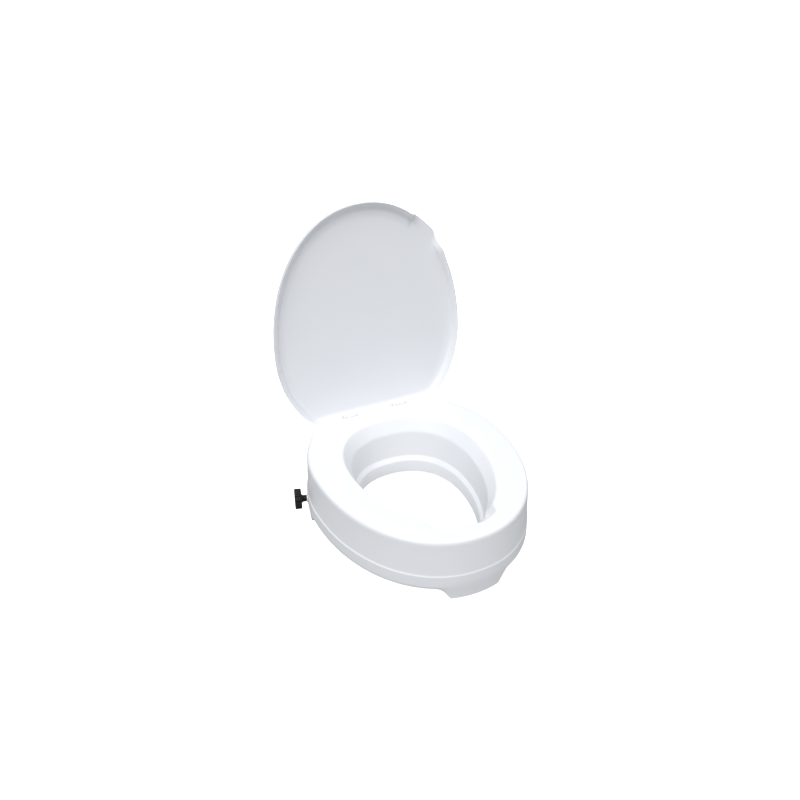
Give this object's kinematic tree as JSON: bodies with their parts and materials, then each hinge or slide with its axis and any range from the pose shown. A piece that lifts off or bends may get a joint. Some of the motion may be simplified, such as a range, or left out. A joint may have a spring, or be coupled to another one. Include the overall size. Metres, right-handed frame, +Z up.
{
  "type": "raised toilet seat",
  "caption": "Raised toilet seat: moulded ring with hinged lid that clamps inside a toilet bowl with side hand screws.",
  "frame": {"origin": "middle of the footprint at the bottom of the locating tabs", "axes": "+Z up, -Y towards the front of the seat, +X to the right of someone facing it from the rear; the lid stands open at rest"},
  "size_m": [0.4198, 0.4838, 0.5281],
  "materials": {
    "white_body": "smooth satin",
    "white_lid": "smooth gloss",
    "white_hardware": "satin",
    "black_knob": "satin",
    "zinc": "zinc plated",
    "grip_rubber": "matte ribbed"
  },
  "bodies": {
    "seat": {"seat_body": "white_body", "vent_plug": "white_hardware", "hinge_bracket_left": "white_hardware", "hinge_bracket_right": "white_hardware", "hinge_screw_1": "zinc", "hinge_screw_2": "zinc", "hinge_screw_3": "zinc", "hinge_screw_4": "zinc", "wall_bushing_left": "white_hardware", "wall_bushing_right": "white_hardware"},
    "lid": {"lid": "white_lid", "hinge_pin_left": "zinc", "hinge_pin_right": "zinc"},
    "handwheel_left": {"knob_left": "black_knob", "clamp_screw_left": "zinc", "screw_collar_left": "zinc"},
    "handwheel_right": {"knob_right": "black_knob", "clamp_screw_right": "zinc", "screw_collar_right": "zinc"},
    "clamp_left": {"clamp_bracket_left": "white_hardware", "clamp_nut_left": "zinc", "clamp_pad_left": "grip_rubber"},
    "clamp_right": {"clamp_bracket_right": "white_hardware", "clamp_nut_right": "zinc", "clamp_pad_right": "grip_rubber"}
  },
  "joints": [
    {"name": "lid_hinge", "type": "hinge", "parent": "seat", "child": "lid", "pos_m": [0, 0.17552, 0.1276], "axis": [1, 0, 0], "range_deg": [0, 97.5]},
    {"name": "knob_spin_left", "type": "hinge", "parent": "seat", "child": "handwheel_left", "pos_m": [-0.18967, 0.07776, 0.0425], "axis": [-0.9613, 0.2756, 0], "range_deg": [-1080, 1080]},
    {"name": "knob_spin_right", "type": "hinge", "parent": "seat", "child": "handwheel_right", "pos_m": [0.18967, 0.07776, 0.0425], "axis": [0.9613, 0.2756, 0], "range_deg": [-1080, 1080]},
    {"name": "clamp_slide_left", "type": "slide", "parent": "seat", "child": "clamp_left", "axis": [-0.9613, 0.2756, 0], "range_m": [-0.0091, 0.0091]},
    {"name": "clamp_slide_right", "type": "slide", "parent": "seat", "child": "clamp_right", "axis": [0.9613, 0.2756, 0], "range_m": [-0.0091, 0.0091]}
  ],
  "couplings": [
    {"joint": "clamp_slide_left", "follows": "knob_spin_left", "m_per_rad": -0.00047746},
    {"joint": "clamp_slide_right", "follows": "knob_spin_right", "m_per_rad": -0.00047746}
  ]
}
